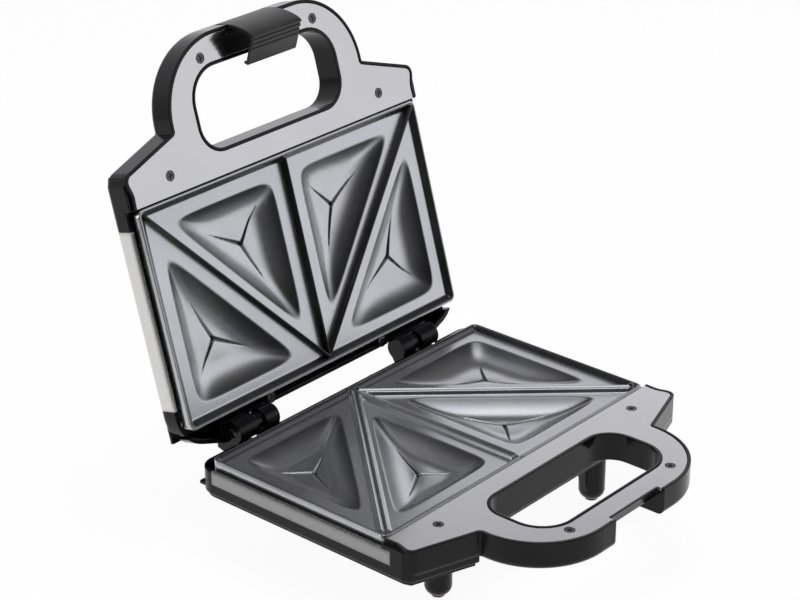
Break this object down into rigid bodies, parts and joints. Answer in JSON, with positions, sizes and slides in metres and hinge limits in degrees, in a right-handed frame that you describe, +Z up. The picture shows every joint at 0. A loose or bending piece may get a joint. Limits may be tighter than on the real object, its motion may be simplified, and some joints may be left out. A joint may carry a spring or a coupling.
{
  "type": "sandwich toaster",
  "caption": "Countertop sandwich toaster with hinged lid, triangular pocket plates, loop handles, latch and feet, shown open.",
  "frame": {"origin": "centre of the bounding box's footprint, at the underside of the feet", "axes": "+X along the hinge, +Y from the handle to the hinge, +Z up"},
  "size_m": [0.245, 0.3036, 0.2766],
  "materials": {
    "housing_plastic": "satin black",
    "latch_plastic": "satin",
    "panel_metal": "polished",
    "plate_casting": "grey non-stick coat, satin",
    "cover_steel": "brushed",
    "element_sheath": "oxidised",
    "strap_steel": "plain",
    "reflector_sheet": "bright",
    "screw_steel": "bright",
    "pin_steel": "ground",
    "pad_rubber": "matt",
    "control_body": "matt",
    "terminal_body": "matt",
    "lens_red": "clear tinted",
    "lens_green": "clear tinted",
    "lamp_glass": "clear"
  },
  "bodies": {
    "base": {"base_housing": "housing_plastic", "base_cooking_plate": "plate_casting", "base_handle_panel": "panel_metal", "base_handle_screws": "screw_steel", "base_plate_screws": "screw_steel", "base_side_trims": "cover_steel", "base_reflector": "reflector_sheet", "base_heating_element": "element_sheath", "base_element_clips": "strap_steel", "bottom_cover": "housing_plastic", "bottom_cover_screws": "screw_steel", "foot_pads": "pad_rubber", "hinge_pins": "pin_steel", "thermostat": "control_body", "thermal_fuse": "control_body", "terminal_block": "terminal_body", "cord_gland": "pad_rubber"},
    "lid": {"lid_housing": "housing_plastic", "lid_cover": "cover_steel", "lid_cooking_plate": "plate_casting", "lid_handle_panel": "panel_metal", "lid_handle_screws": "screw_steel", "lid_plate_screws": "screw_steel", "lid_rear_screws": "screw_steel", "lid_reflector": "reflector_sheet", "lid_heating_element": "element_sheath", "lid_element_clips": "strap_steel", "power_lens": "lens_red", "ready_lens": "lens_green", "indicator_lamps": "lamp_glass", "latch_pin": "pin_steel"},
    "latch": {"latch": "latch_plastic"}
  },
  "joints": [
    {"name": "lid_hinge", "type": "hinge", "parent": "base", "child": "lid", "pos_m": [0, 0.07436, 0.059], "axis": [1, 0, 0], "range_deg": [0, 105.8]},
    {"name": "latch_hinge", "type": "hinge", "parent": "lid", "child": "latch", "pos_m": [0, 0.14619, 0.27064], "axis": [-1, 0, 0], "range_deg": [0, 60]}
  ]
}
